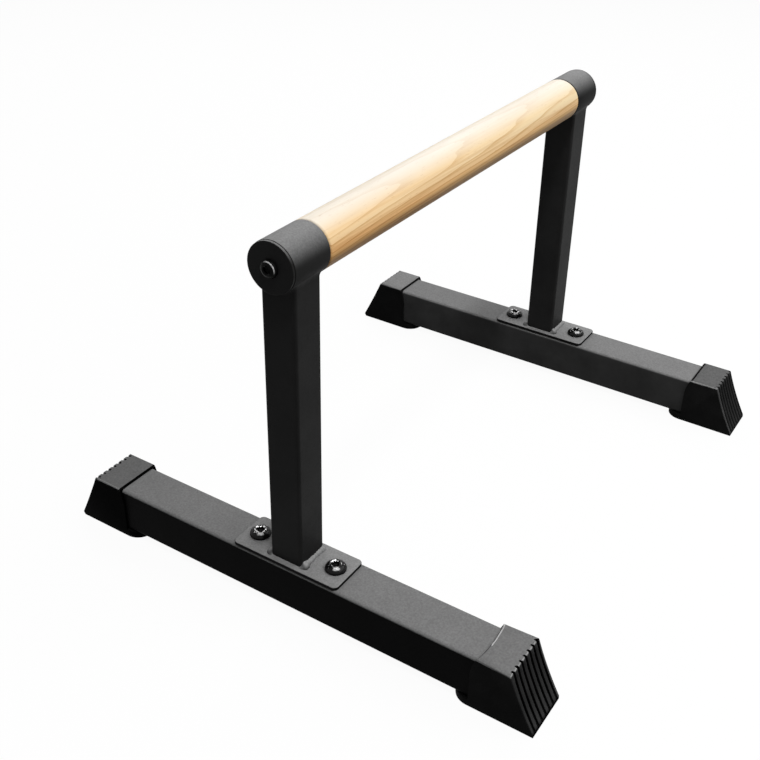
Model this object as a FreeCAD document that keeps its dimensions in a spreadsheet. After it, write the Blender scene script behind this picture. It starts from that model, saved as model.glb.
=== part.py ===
import FreeCAD, Part
import math
import os

import Sketcher
from FreeCAD import Rotation, Vector

# Parallette bar: a round wooden grip bar between two welded steel posts.
# Each post is bolted to a base beam that lies on the floor, with a rubber boot on both of its ends.
# Millimetres. +X runs along the grip bar, +Y along the base beams and +Z up.
# The origin is on the floor under the middle.

DIMENSIONS = {
    # Base beams: square tube, with the distance between their centre lines
    "beam_spacing": 456.0,
    "beam_size": 40.0,
    "beam_wall": 2.0,
    "beam_corner": 3.0,
    "beam_length": 400.0,
    # Rubber boots on the beams' ends
    "sole_depth": 6.5,
    "boot_width": 44.0,
    "boot_top_wall": 2.6,
    "boot_end_wall": 3.6,
    "boot_end_flare": 23.1,
    "boot_toe_bevel": 3.6,
    "boot_cover": 24.5,
    "boot_side_lead": 4.5,
    "boot_side_curve": 47.1,
    "boot_side_drop": 20.1,
    "boot_edge": 0.6,
    "boot_play": 0.1,
    "tongue_reach": 45.0,
    "tongue_corner": 15.0,
    "groove_depth": 1.35,
    "groove_floor": 1.3,
    "groove_slope": 0.5,
    "groove_pitch": 6.2,
    "groove_overrun": 1.0,
    # Base plates under the uprights
    "plate_length": 102.0,
    "plate_width": 39.0,
    "plate_thick": 3.0,
    "plate_corner": 4.5,
    "plate_hole": 11.0,
    "plate_bolt_spacing": 75.0,
    # Uprights: square tube, coped to the sleeves
    "upright_size": 30.0,
    "upright_wall": 2.0,
    "upright_corner": 2.5,
    "foot_weld_leg": 3.6,
    "foot_weld_cut": 3.4,
    "foot_weld_bevel": 3.0,
    # Sleeves and the discs that close them
    "bar_height": 311.0,
    "sleeve_diameter": 40.0,
    "sleeve_wall": 2.0,
    "sleeve_length": 40.0,
    "disc_diameter": 39.4,
    "disc_thick": 2.5,
    "disc_edge": 0.6,
    "disc_hole": 8.6,
    # Grip bar, its spigots and the holes in its ends
    "bar_diameter": 40.0,
    "bar_gap": 0.5,
    "bar_edge": 0.7,
    "spigot_diameter": 35.4,
    "spigot_length": 39.0,
    "pilot_diameter": 8.1,
    "pilot_depth": 28.0,
    # Button-head bolts M10 in the plates and M8 in the discs, and the hexagon nuts welded inside the beams
    "plate_bolt_head": 17.5,
    "plate_bolt_height": 5.5,
    "plate_bolt_thread": 10.0,
    "plate_bolt_length": 16.0,
    "plate_bolt_socket": 6.0,
    "plate_bolt_socket_depth": 3.2,
    "end_bolt_head": 14.0,
    "end_bolt_height": 4.4,
    "end_bolt_thread": 8.0,
    "end_bolt_length": 30.0,
    "end_bolt_socket": 5.0,
    "end_bolt_socket_depth": 2.6,
    "nut_across_flats": 17.0,
    "nut_height": 8.0,
    "nut_bore": 10.2,
}
GROOVES = 7
ENDS = (("left", -1), ("right", 1))
SIDES = (("front", -1), ("rear", 1))
SHEET = "Dimensions"
TOLERANCE = 1e-4


class Size:
    """A length: its present value, and the formula that ties it to the sheet."""

    def __init__(self, value, formula):
        self.value = value
        self.formula = formula

    def combined(self, sign, other, value):
        """This length and another, or a plain number, joined by an arithmetic sign."""
        right = other.formula if isinstance(other, Size) else repr(other)
        return Size(value, f"({self.formula} {sign} {right})")

    def __add__(self, other):
        return self.combined("+", other, self.value + number(other))

    def __sub__(self, other):
        return self.combined("-", other, self.value - number(other))

    def __mul__(self, other):
        return self.combined("*", other, self.value * number(other))

    def __truediv__(self, other):
        return self.combined("/", other, self.value / number(other))

    def __neg__(self):
        return self * -1


def number(length):
    """The present value of a length or of a plain number."""
    return length.value if isinstance(length, Size) else length


def bind(target, path, length):
    """Ties a property of a document object to the sheet."""
    if isinstance(length, Size):
        target.setExpression(path, length.formula)


def make_sheet(doc):
    """The sheet of driving dimensions, and each of them as a length."""
    sheet = doc.addObject("Spreadsheet::Sheet", SHEET)
    for row, (alias, value) in enumerate(DIMENSIONS.items(), start=1):
        sheet.set(f"A{row}", alias)
        sheet.set(f"B{row}", str(value))
        sheet.setAlias(f"B{row}", alias)
    doc.recompute()
    return {alias: Size(value, f"{SHEET}.{alias}") for alias, value in DIMENSIONS.items()}


def new_body(doc, label, x=0, y=0, z=0, rotation=None):
    """A body with its label and its place, which follows the sheet."""
    body = doc.addObject("PartDesign::Body", label)
    body.Label = label
    if rotation:
        body.Placement.Rotation = rotation
    for axis, length in (("x", x), ("y", y), ("z", z)):
        bind(body, f"Placement.Base.{axis}", length)
    return body


def origin_feature(body, role):
    """A plane or an axis of a body's own origin."""
    return next(feature for feature in body.Origin.OriginFeatures if feature.Role == role)


def new_sketch(body, plane, name, lift=0):
    """A sketch on one of a body's origin planes, lifted along the plane's normal."""
    sketch = body.newObject("Sketcher::SketchObject", name)
    sketch.AttachmentSupport = [(origin_feature(body, plane), "")]
    sketch.MapMode = "FlatFace"
    bind(sketch, "AttachmentOffset.Base.z", lift)
    return sketch


def hold(sketch, kind, geometry, point, length):
    """Fixes one coordinate of a sketch point: on the axis where it is zero, otherwise by a bound distance."""
    if not isinstance(length, Size):
        axis = -2 if kind == "DistanceX" else -1
        sketch.addConstraint(Sketcher.Constraint("PointOnObject", geometry, point, axis))
        return
    index = sketch.addConstraint(Sketcher.Constraint(kind, -1, 1, geometry, point, length.value))
    bind(sketch, f"Constraints[{index}]", length)


def arc_between(start, end, radius):
    """An anticlockwise arc from start to end, of under half a circle."""
    chord = end - start
    across = Vector(-chord.y, chord.x, 0).normalize()
    rise = math.sqrt(radius * radius - chord.Length ** 2 / 4)
    centre = (start + end) / 2 + across * rise
    angles = [math.atan2(p.y - centre.y, p.x - centre.x) for p in (start, end)]
    if angles[1] < angles[0]:
        angles[1] += 2 * math.pi
    return Part.ArcOfCircle(Part.Circle(centre, Vector(0, 0, 1), radius), *angles)


def outline(sketch, vertices):
    """A closed outline through (x, y) vertices; a third number starts an anticlockwise arc of that radius."""
    count = len(vertices)
    points = [Vector(number(v[0]), number(v[1]), 0) for v in vertices]
    first = sketch.GeometryCount
    for k, vertex in enumerate(vertices):
        start, end = points[k], points[(k + 1) % count]
        if len(vertex) == 2:
            sketch.addGeometry(Part.LineSegment(start, end))
            continue
        radius = vertex[2]
        geometry = sketch.addGeometry(arc_between(start, end, number(radius)))
        index = sketch.addConstraint(Sketcher.Constraint("Radius", geometry, number(radius)))
        bind(sketch, f"Constraints[{index}]", radius)
    for k, vertex in enumerate(vertices):
        following = first + (k + 1) % count
        sketch.addConstraint(Sketcher.Constraint("Coincident", first + k, 2, following, 1))
        hold(sketch, "DistanceX", first + k, 1, vertex[0])
        hold(sketch, "DistanceY", first + k, 1, vertex[1])


def rounded_rectangle(sketch, width, height, corner):
    """A rectangle about the sketch's origin, with equal round corners."""
    w, h = width / 2, height / 2
    outline(sketch, [
        (-(w - corner), -h), (w - corner, -h, corner), (w, -(h - corner)), (w, h - corner, corner),
        (w - corner, h), (-(w - corner), h, corner), (-w, h - corner), (-w, -(h - corner), corner),
    ])


def cut_square(sketch, width, cut):
    """A square about the sketch's origin, with its corners cut off at 45 degrees."""
    h = width / 2
    k = h - cut
    outline(sketch, [(-k, -h), (k, -h), (h, -k), (h, k), (k, h), (-k, h), (-h, k), (-h, -k)])


def hexagon(sketch, across_flats, y=0):
    """A regular hexagon about a point of the sketch's vertical axis, with two corners level with it."""
    reach = across_flats / math.sqrt(3)
    half = across_flats / 2
    outline(sketch, [
        (reach, y), (reach / 2, half + y), (-(reach / 2), half + y),
        (-reach, y), (-(reach / 2), -half + y), (reach / 2, -half + y),
    ])


def circle(sketch, diameter, y=0):
    """A circle of a bound diameter with its centre on the sketch's vertical axis."""
    geometry = sketch.addGeometry(Part.Circle(Vector(0, number(y), 0), Vector(0, 0, 1), number(diameter) / 2))
    index = sketch.addConstraint(Sketcher.Constraint("Diameter", geometry, number(diameter)))
    bind(sketch, f"Constraints[{index}]", diameter)
    hold(sketch, "DistanceX", geometry, 3, 0)
    hold(sketch, "DistanceY", geometry, 3, y)


def pad(body, sketch, length, symmetric=False):
    """Raises a sketch into a solid, along its normal or to both sides."""
    feature = body.newObject("PartDesign::Pad", "Pad")
    feature.Profile = sketch
    bind(feature, "Length", length)
    if symmetric:
        feature.SideType = "Symmetric"
    return feature


def pocket(body, sketch, length=None, reverse=False):
    """Cuts a sketch out of the body: to a depth, or through all of it on both sides."""
    feature = body.newObject("PartDesign::Pocket", "Pocket")
    feature.Profile = sketch
    feature.Reversed = reverse
    if length is None:
        feature.Type = "ThroughAll"
        feature.SideType = "Symmetric"
    else:
        bind(feature, "Length", length)
    return feature


def revolve(body, sketch, axis):
    """Turns a sketch all round one of its own axes."""
    feature = body.newObject("PartDesign::Revolution", "Revolution")
    feature.Profile = sketch
    feature.ReferenceAxis = (sketch, [axis])
    return feature


def bevel_edges(body, size, wanted):
    """A chamfer on those edges of the body whose middle point and edge are wanted."""
    body.Document.recompute()
    shape = body.Tip.Shape
    names = []
    for index, edge in enumerate(shape.Edges, start=1):
        middle = edge.valueAt((edge.FirstParameter + edge.LastParameter) / 2)
        if wanted(middle, edge):
            names.append(f"Edge{index}")
    feature = body.newObject("PartDesign::Chamfer", "Bevel")
    feature.Base = (feature.BaseFeature, names)
    bind(feature, "Size", size)


def near(a, b):
    """True where two numbers agree."""
    return abs(a - number(b)) < TOLERANCE


def base_beam(doc, dim, label, x):
    """A square tube along the floor, with two bolt holes in its top wall and a nut welded under each."""
    body = new_body(doc, label, x=x, z=dim["sole_depth"] + dim["beam_size"] / 2)
    half = dim["beam_size"] / 2
    room = half - dim["beam_wall"]
    section = new_sketch(body, "XZ_Plane", "Section")
    rounded_rectangle(section, dim["beam_size"], dim["beam_size"], dim["beam_corner"])
    outline(section, [(-room, -room), (room, -room), (room, room), (-room, room)])
    pad(body, section, dim["beam_length"], symmetric=True)
    nuts = new_sketch(body, "XY_Plane", "WeldNuts", lift=room - dim["nut_height"])
    holes = new_sketch(body, "XY_Plane", "BoltHoles", lift=half)
    for _, side in SIDES:
        y = dim["plate_bolt_spacing"] / 2 * side
        hexagon(nuts, dim["nut_across_flats"], y)
        circle(holes, dim["nut_bore"], y=y)
    pad(body, nuts, dim["nut_height"])
    pocket(body, holes, dim["beam_wall"] + dim["nut_height"])
    return body


def base_plate(doc, dim, label, x):
    """A flat plate on the beam, with round corners and two bolt holes."""
    body = new_body(doc, label, x=x, z=dim["sole_depth"] + dim["beam_size"])
    plan = new_sketch(body, "XY_Plane", "Plan")
    rounded_rectangle(plan, dim["plate_width"], dim["plate_length"], dim["plate_corner"])
    for _, side in SIDES:
        circle(plan, dim["plate_hole"], y=dim["plate_bolt_spacing"] / 2 * side)
    pad(body, plan, dim["plate_thick"])
    return body


def plate_top(dim):
    """Height of the base plates' upper faces."""
    return dim["sole_depth"] + dim["beam_size"] + dim["plate_thick"]


def upright_outline(dim, body, name):
    """The upright's outer section, on a body's level plane."""
    section = new_sketch(body, "XY_Plane", name)
    rounded_rectangle(section, dim["upright_size"], dim["upright_size"], dim["upright_corner"])
    return section


def upright(doc, dim, label, x):
    """A square tube that stands on the plate, its upper end coped to the sleeve."""
    body = new_body(doc, label, x=x, z=plate_top(dim))
    section = upright_outline(dim, body, "Section")
    room = dim["upright_size"] / 2 - dim["upright_wall"]
    outline(section, [(-room, -room), (room, -room), (room, room), (-room, room)])
    axis_height = dim["bar_height"] - plate_top(dim)
    pad(body, section, axis_height)
    cope = new_sketch(body, "YZ_Plane", "Cope")
    circle(cope, dim["sleeve_diameter"], y=axis_height)
    pocket(body, cope)
    return body


def foot_weld(doc, dim, label, x):
    """The bead round the upright's foot: a bevelled block with cut corners, less the upright."""
    body = new_body(doc, label, x=x, z=plate_top(dim))
    leg = dim["foot_weld_leg"]
    plan = new_sketch(body, "XY_Plane", "BeadFoot")
    cut_square(plan, dim["upright_size"] + leg * 2, dim["foot_weld_cut"])
    pad(body, plan, leg)
    bevel_edges(body, dim["foot_weld_bevel"], lambda p, _: near(p.z, leg))
    pocket(body, upright_outline(dim, body, "Upright"))
    return body


def sleeve(doc, dim, label, x):
    """A short tube that holds one end of the bar."""
    body = new_body(doc, label, x=x, z=dim["bar_height"])
    section = new_sketch(body, "YZ_Plane", "Section")
    circle(section, dim["sleeve_diameter"])
    circle(section, dim["sleeve_diameter"] - dim["sleeve_wall"] * 2)
    pad(body, section, dim["sleeve_length"], symmetric=True)
    return body


def outward(end):
    """Turns a body's +Z to point out of the left or the right end."""
    return Rotation(Vector(0, 1, 0), 90 * end)


def end_disc(doc, dim, label, end):
    """A disc that closes a sleeve, with a bevelled rim and a hole for its bolt."""
    x = (dim["beam_spacing"] / 2 + dim["sleeve_length"] / 2) * end
    body = new_body(doc, label, x=x, z=dim["bar_height"], rotation=outward(end))
    face = new_sketch(body, "XY_Plane", "Face")
    circle(face, dim["disc_diameter"])
    circle(face, dim["disc_hole"])
    pad(body, face, dim["disc_thick"])
    rim = math.pi * number(dim["disc_diameter"])
    bevel_edges(body, dim["disc_edge"], lambda p, e: near(e.Length, rim) and near(p.z, dim["disc_thick"]))
    return body


def button_bolt(doc, dim, label, kind, rotation=None, **place):
    """A button-head bolt that stands on its seat at the body's origin, with a hexagon socket in its crown."""
    body = new_body(doc, label, rotation=rotation, **place)
    head, thread = dim[f"{kind}_head"] / 2, dim[f"{kind}_thread"] / 2
    height, length = dim[f"{kind}_height"], dim[f"{kind}_length"]
    profile = new_sketch(body, "XZ_Plane", "Profile")
    outline(profile, [(0, -length), (thread, -length), (thread, 0), (head, 0), (head, height), (0, height)])
    revolve(body, profile, "V_Axis")
    socket = new_sketch(body, "XY_Plane", "Socket", lift=height)
    hexagon(socket, dim[f"{kind}_socket"])
    pocket(body, socket, dim[f"{kind}_socket_depth"])
    return body


def grip_bar(doc, dim, label):
    """The round bar: shoulders just short of the sleeves, spigots inside them, and a blind hole in each end."""
    body = new_body(doc, label, z=dim["bar_height"])
    shoulder = dim["beam_spacing"] / 2 - dim["sleeve_length"] / 2 - dim["bar_gap"]
    tip = shoulder + dim["spigot_length"]
    floor = tip - dim["pilot_depth"]
    radius, spigot, hole = (dim[f"{part}_diameter"] / 2 for part in ("bar", "spigot", "pilot"))
    edge = dim["bar_edge"]
    right_half = [
        (floor, 0), (floor, hole), (tip, hole), (tip, spigot), (shoulder, spigot),
        (shoulder, radius - edge), (shoulder - edge, radius),
    ]
    left_half = [(-x, y) for x, y in reversed(right_half)]
    profile = new_sketch(body, "XZ_Plane", "Profile")
    outline(profile, right_half + left_half)
    revolve(body, profile, "H_Axis")
    return body


def boot_grooves(body, dim, top, toe):
    """Cuts the row of grooves into a boot's end wall, along its slope."""
    over, depth, flare = dim["groove_overrun"], dim["groove_depth"], dim["boot_end_flare"]
    wall = toe + flare * over / top
    floor = dim["groove_floor"] / 2
    mouth = floor + dim["groove_slope"] * (depth + over)
    section = new_sketch(body, "XY_Plane", "GrooveSections", lift=-over)
    for k in range(GROOVES):
        x = dim["groove_pitch"] * (k - GROOVES // 2)
        outline(section, [
            (x - floor, wall - depth), (x + floor, wall - depth),
            (x + mouth, wall + over), (x - mouth, wall + over),
        ])
    grooves = pocket(body, section, top + over * 2, reverse=True)
    grooves.UseCustomVector = True
    bind(grooves, "Direction.y", flare)
    bind(grooves, "Direction.z", -top)


def boot(doc, dim, label, x, y, rotation):
    """A moulded rubber boot on a beam's end: flared ribbed end wall, thick sole, round tongue under the beam.

    Its own origin is on the floor below the end of the beam, with the end wall towards +Y.
    """
    body = new_body(doc, label, x=x, y=y, rotation=rotation)
    top = dim["sole_depth"] + dim["beam_size"] + dim["boot_top_wall"]
    toe = dim["boot_end_wall"] + dim["boot_end_flare"]
    lead = dim["boot_cover"] + dim["boot_side_lead"]
    side = new_sketch(body, "YZ_Plane", "SideView")
    outline(side, [
        (-lead, 0), (toe, 0), (dim["boot_end_wall"], top),
        (-dim["boot_cover"], top, dim["boot_side_curve"]), (-lead, top - dim["boot_side_drop"]),
    ])
    pad(body, side, dim["boot_width"], symmetric=True)
    half, reach, corner = dim["boot_width"] / 2, dim["tongue_reach"], dim["tongue_corner"]
    bevel_edges(body, dim["boot_toe_bevel"], lambda p, _: near(p.y, toe) and near(p.z, 0))
    bevel_edges(body, dim["boot_edge"], lambda p, _: near(abs(p.x), half) and near(p.z, top))

    tongue = new_sketch(body, "XY_Plane", "Tongue")
    outline(tongue, [
        (half, 0), (-half, 0), (-half, corner - reach, corner), (corner - half, -reach),
        (half - corner, -reach, corner), (half, corner - reach),
    ])
    pad(body, tongue, dim["sole_depth"])

    room = new_sketch(body, "XZ_Plane", "BeamSpace")
    play = dim["boot_play"]
    wide = dim["beam_size"] / 2 + play
    low, high = dim["sole_depth"], dim["sole_depth"] + dim["beam_size"] + play
    bend = dim["beam_corner"] + play
    outline(room, [
        (bend - wide, low), (wide - bend, low, bend), (wide, low + bend), (wide, high - bend, bend),
        (wide - bend, high), (bend - wide, high, bend), (-wide, high - bend), (-wide, low + bend, bend),
    ])
    pocket(body, room, reach, reverse=True)
    boot_grooves(body, dim, top, toe)
    return body


def build(doc):
    """Every sub-part of the parallette, in one document."""
    dim = make_sheet(doc)
    bodies = [grip_bar(doc, dim, "grip_bar")]
    for end_name, end in ENDS:
        x = dim["beam_spacing"] / 2 * end
        bodies += [
            base_beam(doc, dim, f"{end_name}_base_beam", x),
            base_plate(doc, dim, f"{end_name}_base_plate", x),
            upright(doc, dim, f"{end_name}_upright", x),
            foot_weld(doc, dim, f"{end_name}_foot_weld", x),
            sleeve(doc, dim, f"{end_name}_sleeve", x),
            end_disc(doc, dim, f"{end_name}_end_disc", end),
        ]
        face = (dim["beam_spacing"] / 2 + dim["sleeve_length"] / 2 + dim["disc_thick"]) * end
        bodies.append(button_bolt(doc, dim, f"{end_name}_end_bolt", "end_bolt", outward(end),
                                  x=face, z=dim["bar_height"]))
        for side_name, side in SIDES:
            corner = f"{end_name}_{side_name}"
            bolt_y = dim["plate_bolt_spacing"] / 2 * side
            bodies += [
                button_bolt(doc, dim, f"{corner}_plate_bolt", "plate_bolt", x=x, y=bolt_y, z=plate_top(dim)),
                boot(doc, dim, f"{corner}_boot", x, dim["beam_length"] / 2 * side,
                     Rotation(Vector(0, 0, 1), 0 if side > 0 else 180)),
            ]
    doc.recompute()
    return bodies


def check(doc, bodies):
    """Stops before anything is written if an object failed or a sub-part isn't one sound solid."""
    for item in doc.Objects:
        if "Invalid" in item.State or "Error" in item.State:
            raise RuntimeError(f"{item.Label} did not build: {item.State}")
    for body in bodies:
        shape = body.Shape
        if shape.isNull() or not shape.isValid() or len(shape.Solids) != 1:
            raise RuntimeError(f"{body.Label} is not one valid solid")


def main():
    doc = FreeCAD.newDocument("Parallette")
    bodies = build(doc)
    check(doc, bodies)
    os.makedirs("parts", exist_ok=True)
    for body in bodies:
        body.Shape.exportStep(f"parts/{body.Label}.step")
        box = body.Shape.BoundBox
        print(f"{body.Label}: {box.XLength:.1f} x {box.YLength:.1f} x {box.ZLength:.1f} mm, "
              f"{body.Shape.Volume / 1000:.2f} cm3")


main()
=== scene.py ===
import math

import bmesh
import bpy
from mathutils import Matrix, Vector


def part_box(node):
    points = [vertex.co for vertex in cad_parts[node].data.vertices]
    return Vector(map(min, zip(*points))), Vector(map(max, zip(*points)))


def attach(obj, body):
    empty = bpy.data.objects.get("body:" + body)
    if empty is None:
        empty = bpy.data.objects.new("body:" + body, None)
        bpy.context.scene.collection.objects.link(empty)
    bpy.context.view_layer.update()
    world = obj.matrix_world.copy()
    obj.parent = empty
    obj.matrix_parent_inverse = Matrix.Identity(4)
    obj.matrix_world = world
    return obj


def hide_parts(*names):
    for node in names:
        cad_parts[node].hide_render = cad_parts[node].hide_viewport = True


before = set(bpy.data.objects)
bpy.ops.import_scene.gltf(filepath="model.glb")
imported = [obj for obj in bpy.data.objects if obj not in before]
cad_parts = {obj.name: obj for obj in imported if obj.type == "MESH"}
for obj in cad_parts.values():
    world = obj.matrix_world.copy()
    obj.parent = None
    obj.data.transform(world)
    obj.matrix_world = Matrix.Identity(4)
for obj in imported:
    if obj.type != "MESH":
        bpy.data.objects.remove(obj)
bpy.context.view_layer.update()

MM = 0.001
BODY = "root"
ENDS = (("left", -1), ("right", 1))
SIDES = (("front", -1), ("rear", 1))

# Camera: the image is a square of IMAGE pixels, and the lens is given in pixels as well
IMAGE = 760
FOCAL_PX = 1094.885
CENTRE_PX = (393.976, 331.699)
YAW, PITCH, ROLL = (math.radians(angle) for angle in (-58.3037, 29.5104, 1.5879))
TARGET = Vector((-0.089942, 0.0, 0.187591))
DISTANCE = 0.913368
SENSOR = 36.0

# Stage: the floor's colour and the world's strength as they light the object, and the point the lamps face
FLOOR_HALF = 9.0
FLOOR_SEGMENTS = 8
FLOOR_COLOUR = 0.18
FLOOR_GLOW = 0.95
WORLD_FILL = 0.12
WHITE = (1, 1, 1, 1)
LIT_POINT = Vector((0, 0, 0.15))

# Meshes: distances within which points count as one, and how fine the round pieces are
JOIN_NEAR = 0.002 * MM
CUT_NEAR = 0.001 * MM
FLAT_ANGLE = math.radians(1)
SIDE_SHARE = 0.45
ROLL_SEGMENTS = 3
BAR_SEGMENTS = 192
TUBE_SEGMENTS = 160

# Sizes of what the frame doesn't show from outside, in metres
SHOULDER_GAP = 0.8 * MM
SHOULDER_EDGE = 0.7 * MM
SHOULDER_SLOPE = 1.6
SPIGOT_RADIUS = 17.7 * MM
SLEEVE_WALL = 2.0 * MM
SLEEVE_EDGE = 0.5 * MM
DISC_EDGE = 0.8 * MM
DISC_SEAM = 0.5 * MM
DISC_HOLE = 4.3 * MM
UPRIGHT_CORNER = 2.5 * MM
PLATE_ROUND = 0.6 * MM

# Boots: which of the four differ, and the slots of their materials: plain rubber, painted shade,
# a painted lip highlight, a painted edge highlight and a lit copy of the rubber for the ribs
BOWED_BOOT = "left_front_boot"
SHALLOW_BOOT = "right_front_boot"
# The dotted boot gets painted shade in the run-outs of its grooves on the lid
DOTTED_BOOT = "left_rear_boot"
EDGE_HIGHLIGHT_BOOTS = ("right_front_boot", "left_rear_boot")
PLAIN, PAINTED_SHADE, LIP_HIGHLIGHT, EDGE_HIGHLIGHT, LIT_RIB = range(5)

# Boots: how the moulded shape differs from the plain one, and where its surfaces are cut for that
BOOT_ROUND = 0.25 * MM
BOOT_ROOM = 0.6 * MM
BOOT_CHAMFER = 0.6 * MM
CHAMFER_MORE = 0.4 * MM
BOOT_END_WALL = 3.6 * MM
BOOT_FLARE = 23.1 * MM
BOOT_COVER = 24.5 * MM
BOOT_WALL_DEPTH = 1.8 * MM
BOOT_RIM = 1.0 * MM
BOOT_LID = 3.2 * MM
BOOT_TOE = 5.0 * MM
BOOT_HOLLOW = {"front": 1.4 * MM, "rear": 0.5 * MM}
BOOT_BOW = 2.0 * MM
BOOT_SPREAD = 1.3 * MM
SPREAD_FOOT = 0.4
BOOT_OUTSIDE = 0.95
BOOT_OUTER_RIB = 0.91
BOOT_LEVELS = (0.10, 0.16, 0.25, 0.37, 0.5, 0.63, 0.76, 0.88)
BOOT_COLUMNS = (-0.705, -0.423, -0.141, 0.141, 0.423, 0.705)
BOOT_INWARD = 0.35
BOOT_UPWARD = 0.5
BOOT_TONGUE = 0.35
GROOVE_START = 0.3 * MM
GROOVE_MORE = {"front": 0.9 * MM, "rear": 0.1 * MM}
GROOVE_FOOT = 0.07
GROOVE_RUN_IN = 0.15
GROOVES = 7
GROOVE_PITCH = 6.2 * MM
RUN_OUT = 3.2 * MM
RUN_OUT_HALF = 1.05 * MM
EDGE_ROUND = 0.8 * MM
BOWED_LIP = 1.2 * MM
PLAIN_LIP = 2.0 * MM
LIP_BRIGHT = 0.1

# Bolts: the rim's share of the head's height, the rounding at the seat and the socket's lead-in
BOLT_RIM = 0.2
BOLT_ROUND = 0.35 * MM
BOLT_LEAD = 0.7 * MM
BOLT_DOME_STEPS = 12
BOLT_SEGMENTS = 72
PLATE_BOLT = {"shank": 5.0 * MM, "length": 16.0 * MM, "socket": 6.0 * MM, "depth": 3.2 * MM}
END_BOLT = {"shank": 4.0 * MM, "length": 30.0 * MM, "socket": 5.0 * MM, "depth": 2.6 * MM}

# Bolts: shares of the shank's radius at its tip, of the lead-in, and of the socket's width at its bottom
TIP_RADIUS, TIP_HEIGHT = 0.8, 0.2
LEAD_ACROSS, LEAD_DOWN = 0.4, 0.35
SOCKET_POINT = 0.25

# Bolts: how far the worn socket's material reaches down in lead-ins, and out in mouths
WORN_DOWN, WORN_OUT = 2.2, 1.1
WORN_SLOT = 1

# Weld beads: thin and full ones as (out, up), and how they swell, sway and ripple along the way
BEAD_STEPS = 8
BEAD_CORNER_STEPS = 10
FOOT_FLAT_STEPS = 48
SADDLE_FLAT_STEPS = 40
BEAD_ROOT = 0.2 * MM
BEAD_THIN = (0.8 * MM, 0.6 * MM)
BEAD_FULL = (2.7 * MM, 2.4 * MM)
BEAD_BULGE = 0.35
BLOB_BULGE = 0.4
BLOB_PLACE = 0.80
BLOB_WIDTH = 0.26
BLOB_SWELL = 0.85
TAIL_SWELL = 0.30
SWAY_DEPTH = 0.16
SWAY_START = 40
LONG_SWAY, LONG_SWAY_SHARE = 310, 0.6
SHORT_SWAY, SHORT_SWAY_SHARE = 730, 0.4
RIPPLE_PITCH = 2.6 * MM
RIPPLE_DEPTH = 0.09
SADDLE_LEG = 3.0 * MM
SADDLE_SWAY, SADDLE_SWAY_DEPTH = 900, 0.08

# The stretch of values that noise mostly fills
NOISE_LOW, NOISE_HIGH = 0.3, 0.7

# Black finishes: roughness, sizes of grain and patches per metre, and how far the grain stands out
POWDER_FINISH = {"rough": (0.42, 0.54), "grain_scale": 700.0, "patch_scale": 35.0, "grit": 0.2}
RUBBER_FINISH = {"rough": (0.42, 0.56), "grain_scale": 600.0, "patch_scale": 60.0, "grit": 0.3}
GRAIN_DEPTH = 0.1 * MM
PATCH_SHARES = (0.8, 1.2)
CLOUD_SHARES = (0.92, 1.0)
# How far the painted sheen of top light varies with the grain
SHEEN_SHARES = (0.86, 1.16)

# Coats and rubbers: copies of one powder coat and one rubber, toned per part, end and corner as painted light
# and shade;
# black base and painted pale sheen as albedos, and the slopes between which the painted sheen sets in
PLATE_COAT = {"base": 0.008, "painted_sheen": 0.258, "slope": (0.45, 1.0), "gloss": 0.015}
BEAD_COAT = {"base": 0.030, "painted_sheen": 0.330, "slope": (0.20, 0.95)}
POST_COAT = {
    "left": {"base": 0.016, "painted_sheen": 0.170, "slope": (0.35, 1.0)},
    "right": {"base": 0.021, "painted_sheen": 0.170, "slope": (0.35, 1.0)},
}
BEAM_COAT = {
    "left": {"base": 0.004, "painted_sheen": 0.205, "slope": (0.25, 0.75), "gloss": 0.01},
    "right": {"base": 0.055, "painted_sheen": 0.225, "slope": (0.25, 0.75), "gloss": 0.01},
}
SLEEVE_COAT = {
    "left": {"base": 0.020, "painted_sheen": 0.238, "slope": (0.10, 1.10), "gloss": 0.012},
    "right": {"base": 0.016, "painted_sheen": 0.260, "slope": (0.15, 1.18), "gloss": 0.012},
}
BOOT_RUBBER = {
    "left_front": {"base": 0.012, "painted_sheen": 0.190},
    "left_rear": {"base": 0.0010, "painted_sheen": 0.145},
    "right_front": {"base": 0.013, "painted_sheen": 0.130},
    "right_rear": {"base": 0.009, "painted_sheen": 0.255},
}
# Rubbers that paint shade into grooves and recesses, highlights on edges and the lip, and light on the ribs
SHADE_RUBBER = {"base": 0.0015, "painted_sheen": 0.006, "gloss": 0.004}
EDGE_HIGHLIGHT_RUBBER = {"base": 0.062, "painted_sheen": 0.360, "slope": (0.42, 0.95)}
LIP_HIGHLIGHT_RUBBER = {"base": 0.100, "painted_sheen": 0.550, "slope": (0.10, 0.8)}
LIT_RIB_RUBBER = {"base": 0.021, "painted_sheen": 0.200}

# Blackened steel of the bolts, with faint smears
OXIDE_SMEAR_SCALE = 450.0
OXIDE_GREYS = (0.002, 0.006)
OXIDE_ROUGH = (0.20, 0.30)
OXIDE_GRIT = 0.08
STEEL_DEPTH = 0.05 * MM

# The bolts' painted glints, where the key light's highlight falls: which way from the axis, how far out, how
# wide as cosines, and the black's gloss
END_GLINT = {
    "towards": (0, -0.62, 0.78), "inner": (5.5 * MM, 5.8 * MM), "outer": (6.1 * MM, 6.4 * MM),
    "ahead": (0.30, 0.80), "beside": (0.2, 0.5), "glint_specks": 0.0, "bright": 0.95, "gloss": 0.03,
}
PLATE_GLINT = {
    "towards": (-0.78, -0.62, 0), "inner": (4.0 * MM, 4.6 * MM), "outer": (6.6 * MM, 7.3 * MM),
    "ahead": (0.88, 0.95), "beside": (-0.2, 0.3), "glint_specks": 0.9, "bright": 0.95, "gloss": 0.12,
}
GLINT_SCALE = 700.0
GLINT_FAINT = 0.45
GLINT_SPECKS_FROM = (0.60, 0.66)

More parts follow.
